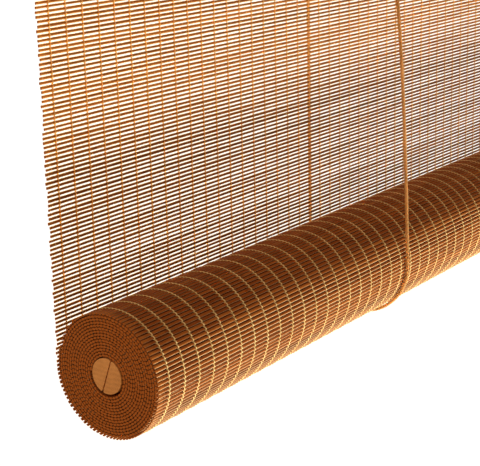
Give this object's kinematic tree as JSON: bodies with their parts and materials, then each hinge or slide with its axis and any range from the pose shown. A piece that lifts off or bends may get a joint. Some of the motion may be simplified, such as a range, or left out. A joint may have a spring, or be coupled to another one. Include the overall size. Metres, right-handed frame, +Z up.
{
  "type": "bamboo blind",
  "caption": "Woven bamboo roll-up blind hung from a head batten, partly rolled on its bottom batten and carried by lift cords over pulleys to a cord lock.",
  "frame": {"origin": "centre of the head batten's top face, midway between the end mounting holes", "axes": "+X along the blind to the viewer's right, +Y away from the room, +Z up"},
  "size_m": [1.2, 0.1019, 0.4087],
  "materials": {
    "bamboo": "satin",
    "stained_wood": "satin",
    "pale_wood": "raw",
    "warp_thread": "matte",
    "lift_cord": "matte",
    "plated_steel": "satin",
    "pin_steel": "satin",
    "wheel_brass": "satin"
  },
  "bodies": {
    "root": {"head_batten": "stained_wood", "clamp_lath": "stained_wood", "clamp_nails": "pin_steel", "hanging_mat": "bamboo", "warp_threads": "warp_thread", "pulley_bracket_left": "plated_steel", "pulley_bracket_right": "plated_steel", "pulley_axle_left": "pin_steel", "pulley_axle_right": "pin_steel", "cord_lock_housing": "plated_steel", "cord_lock_pin": "pin_steel", "hardware_screws": "pin_steel", "pull_knot": "lift_cord", "cord_knot_left": "lift_cord", "cord_back_left": "lift_cord", "cord_front_left": "lift_cord", "cord_rail_left": "lift_cord", "cord_knot_right": "lift_cord", "cord_back_right": "lift_cord", "cord_front_right": "lift_cord", "cord_rail_right": "lift_cord"},
    "slings": {"cord_bight_left": "lift_cord", "cord_bight_right": "lift_cord"},
    "roll": {"rolled_mat": "bamboo", "bottom_batten_front": "pale_wood", "bottom_batten_back": "pale_wood", "batten_nails": "pin_steel"},
    "wheel_left": {"sheave_left": "wheel_brass"},
    "wheel_right_inner": {"sheave_right_inner": "wheel_brass"},
    "wheel_right_outer": {"sheave_right_outer": "wheel_brass"},
    "lock_roller": {"cord_lock_roller": "wheel_brass"},
    "lock_pawl": {"cord_lock_pawl": "plated_steel"}
  },
  "joints": [
    {"name": "roll_lift", "type": "slide", "parent": "root", "child": "slings", "axis": [0, 0, 1], "range_m": [0, 0.268], "deforming": ["hanging_mat", "warp_threads", "cord_back_left", "cord_front_left", "cord_back_right", "cord_front_right"]},
    {"name": "roll_turn", "type": "hinge", "parent": "slings", "child": "roll", "pos_m": [0, -0.01391, -0.3605], "axis": [1, 0, 0], "range_deg": [-347, 0]},
    {"name": "wheel_left_turn", "type": "hinge", "parent": "root", "child": "wheel_left", "pos_m": [-0.2708, -0.035, -0.014], "axis": [0, 1, 0], "range_deg": [0, 3751]},
    {"name": "wheel_right_inner_turn", "type": "hinge", "parent": "root", "child": "wheel_right_inner", "pos_m": [0.2872, -0.035, -0.014], "axis": [0, 1, 0], "range_deg": [0, 3751]},
    {"name": "wheel_right_outer_turn", "type": "hinge", "parent": "root", "child": "wheel_right_outer", "pos_m": [0.2872, -0.0415, -0.014], "axis": [0, 1, 0], "range_deg": [0, 3751]},
    {"name": "lock_roller_turn", "type": "hinge", "parent": "root", "child": "lock_roller", "pos_m": [0.548, -0.03825, -0.014], "axis": [0, 1, 0], "range_deg": [0, 3751]},
    {"name": "lock_pawl_swing", "type": "hinge", "parent": "root", "child": "lock_pawl", "pos_m": [0.5675, -0.03825, -0.01], "axis": [0, 1, 0], "range_deg": [-30, 0]}
  ],
  "couplings": [
    {"joint": "roll_turn", "follows": "roll_lift", "rad_per_m": -22.517},
    {"joint": "wheel_left_turn", "follows": "roll_lift", "rad_per_m": 243.9},
    {"joint": "wheel_right_inner_turn", "follows": "roll_lift", "rad_per_m": 243.9},
    {"joint": "wheel_right_outer_turn", "follows": "roll_lift", "rad_per_m": 243.9},
    {"joint": "lock_roller_turn", "follows": "roll_lift", "rad_per_m": 243.9}
  ]
}
